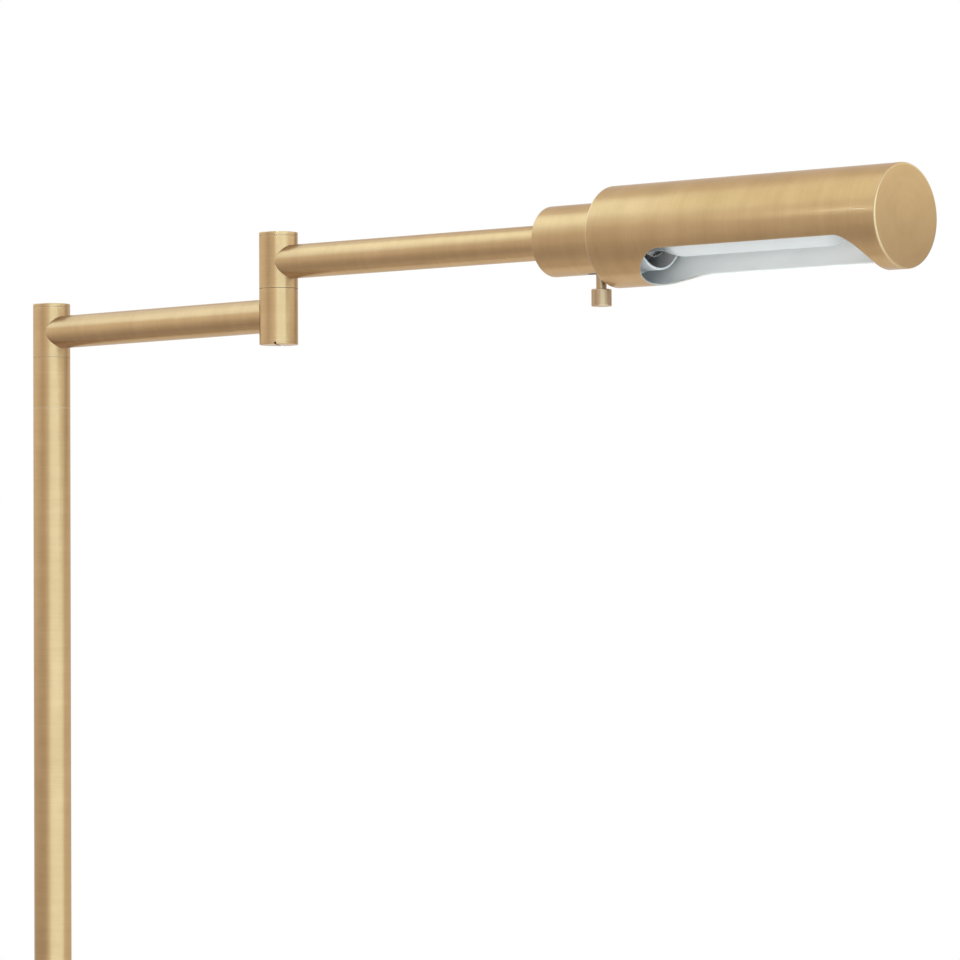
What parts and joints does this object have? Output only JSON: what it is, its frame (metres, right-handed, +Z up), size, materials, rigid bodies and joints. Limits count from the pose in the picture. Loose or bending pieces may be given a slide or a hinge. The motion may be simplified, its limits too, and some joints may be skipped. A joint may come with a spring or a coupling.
{
  "type": "task floor lamp",
  "caption": "Floor-standing reading lamp: weighted round foot, straight pole, two-link swing arm on friction swivels, and a tubular shade that turns about its axis.",
  "frame": {"origin": "on the floor under the pole's axis, at the underside of the felt pad", "axes": "+Z up along the pole, +X along the upper arm and shade at rest, -Y the side that the shade's mouth is turned towards"},
  "size_m": [0.8653, 0.254, 1.3721],
  "materials": {
    "satin_brass": "satin, lacquered",
    "plain_steel": "zinc plated",
    "raw_brass": "bare",
    "cast_iron": "as cast",
    "black_felt": "felt",
    "black_rubber": "matte",
    "grey_nylon": "matte",
    "dark_phenolic": "moulded",
    "frosted_glass": "frosted white",
    "nickel_plate": "nickel plated"
  },
  "bodies": {
    "stand": {"base_pad": "black_felt", "base_weight": "cast_iron", "base_cover": "satin_brass", "cord_gland": "black_rubber", "base_washer": "plain_steel", "base_nut": "plain_steel", "base_nipple": "plain_steel", "pole_foot_plug": "plain_steel", "pole_lower_tube": "satin_brass", "pole_coupler": "plain_steel", "pole_upper_tube": "satin_brass", "pole_swivel_seat": "satin_brass", "pole_pivot": "plain_steel", "pole_seam_washer": "grey_nylon", "pole_spring_washer": "plain_steel", "pole_pivot_nut": "plain_steel", "pole_stop_pin": "plain_steel"},
    "lower_arm": {"pole_knuckle": "satin_brass", "pole_top_cap": "satin_brass", "lower_arm_tube": "satin_brass", "elbow_lower_knuckle": "satin_brass", "elbow_bottom_cap": "satin_brass", "elbow_pivot": "plain_steel", "elbow_seam_washer": "grey_nylon", "elbow_spring_washer": "plain_steel", "elbow_pivot_nut": "plain_steel", "elbow_stop_pin": "plain_steel"},
    "upper_arm": {"elbow_upper_knuckle": "satin_brass", "elbow_top_cap": "satin_brass", "upper_arm_tube": "satin_brass", "arm_end_plug": "plain_steel", "cup_nipple": "plain_steel", "cup_lock_nut": "plain_steel", "socket_cup": "satin_brass", "cup_snap_ring": "plain_steel", "lampholder_body": "dark_phenolic", "lampholder_screw_shell": "nickel_plate", "lampholder_contact": "raw_brass", "switch_grommet": "black_rubber", "switch_sleeve": "satin_brass", "bulb_base": "nickel_plate", "bulb_glass": "frosted_glass"},
    "knob": {"switch_rotor": "dark_phenolic", "switch_shaft": "plain_steel", "switch_knob": "satin_brass"},
    "shade": {"shade_tube": "satin_brass", "shade_front_cap": "satin_brass", "shade_rear_plate": "satin_brass", "shade_turn_bush": "grey_nylon"}
  },
  "joints": [
    {"name": "pole_swivel", "type": "hinge", "parent": "stand", "child": "lower_arm", "pos_m": [0, 0, 1.3059], "axis": [0, 0, 1], "range_deg": [-165, 165]},
    {"name": "elbow_swivel", "type": "hinge", "parent": "lower_arm", "child": "upper_arm", "pos_m": [0.23021, -0.01909, 1.3404], "axis": [0, 0, 1], "range_deg": [-169.74, 160.26]},
    {"name": "shade_turn", "type": "hinge", "parent": "upper_arm", "child": "shade", "pos_m": [0.51611, -0.01909, 1.3404], "axis": [1, 0, 0], "continuous": true},
    {"name": "knob_turn", "type": "hinge", "parent": "upper_arm", "child": "knob", "pos_m": [0.50341, -0.01909, 1.30878], "axis": [0, 0, -1], "continuous": true}
  ]
}
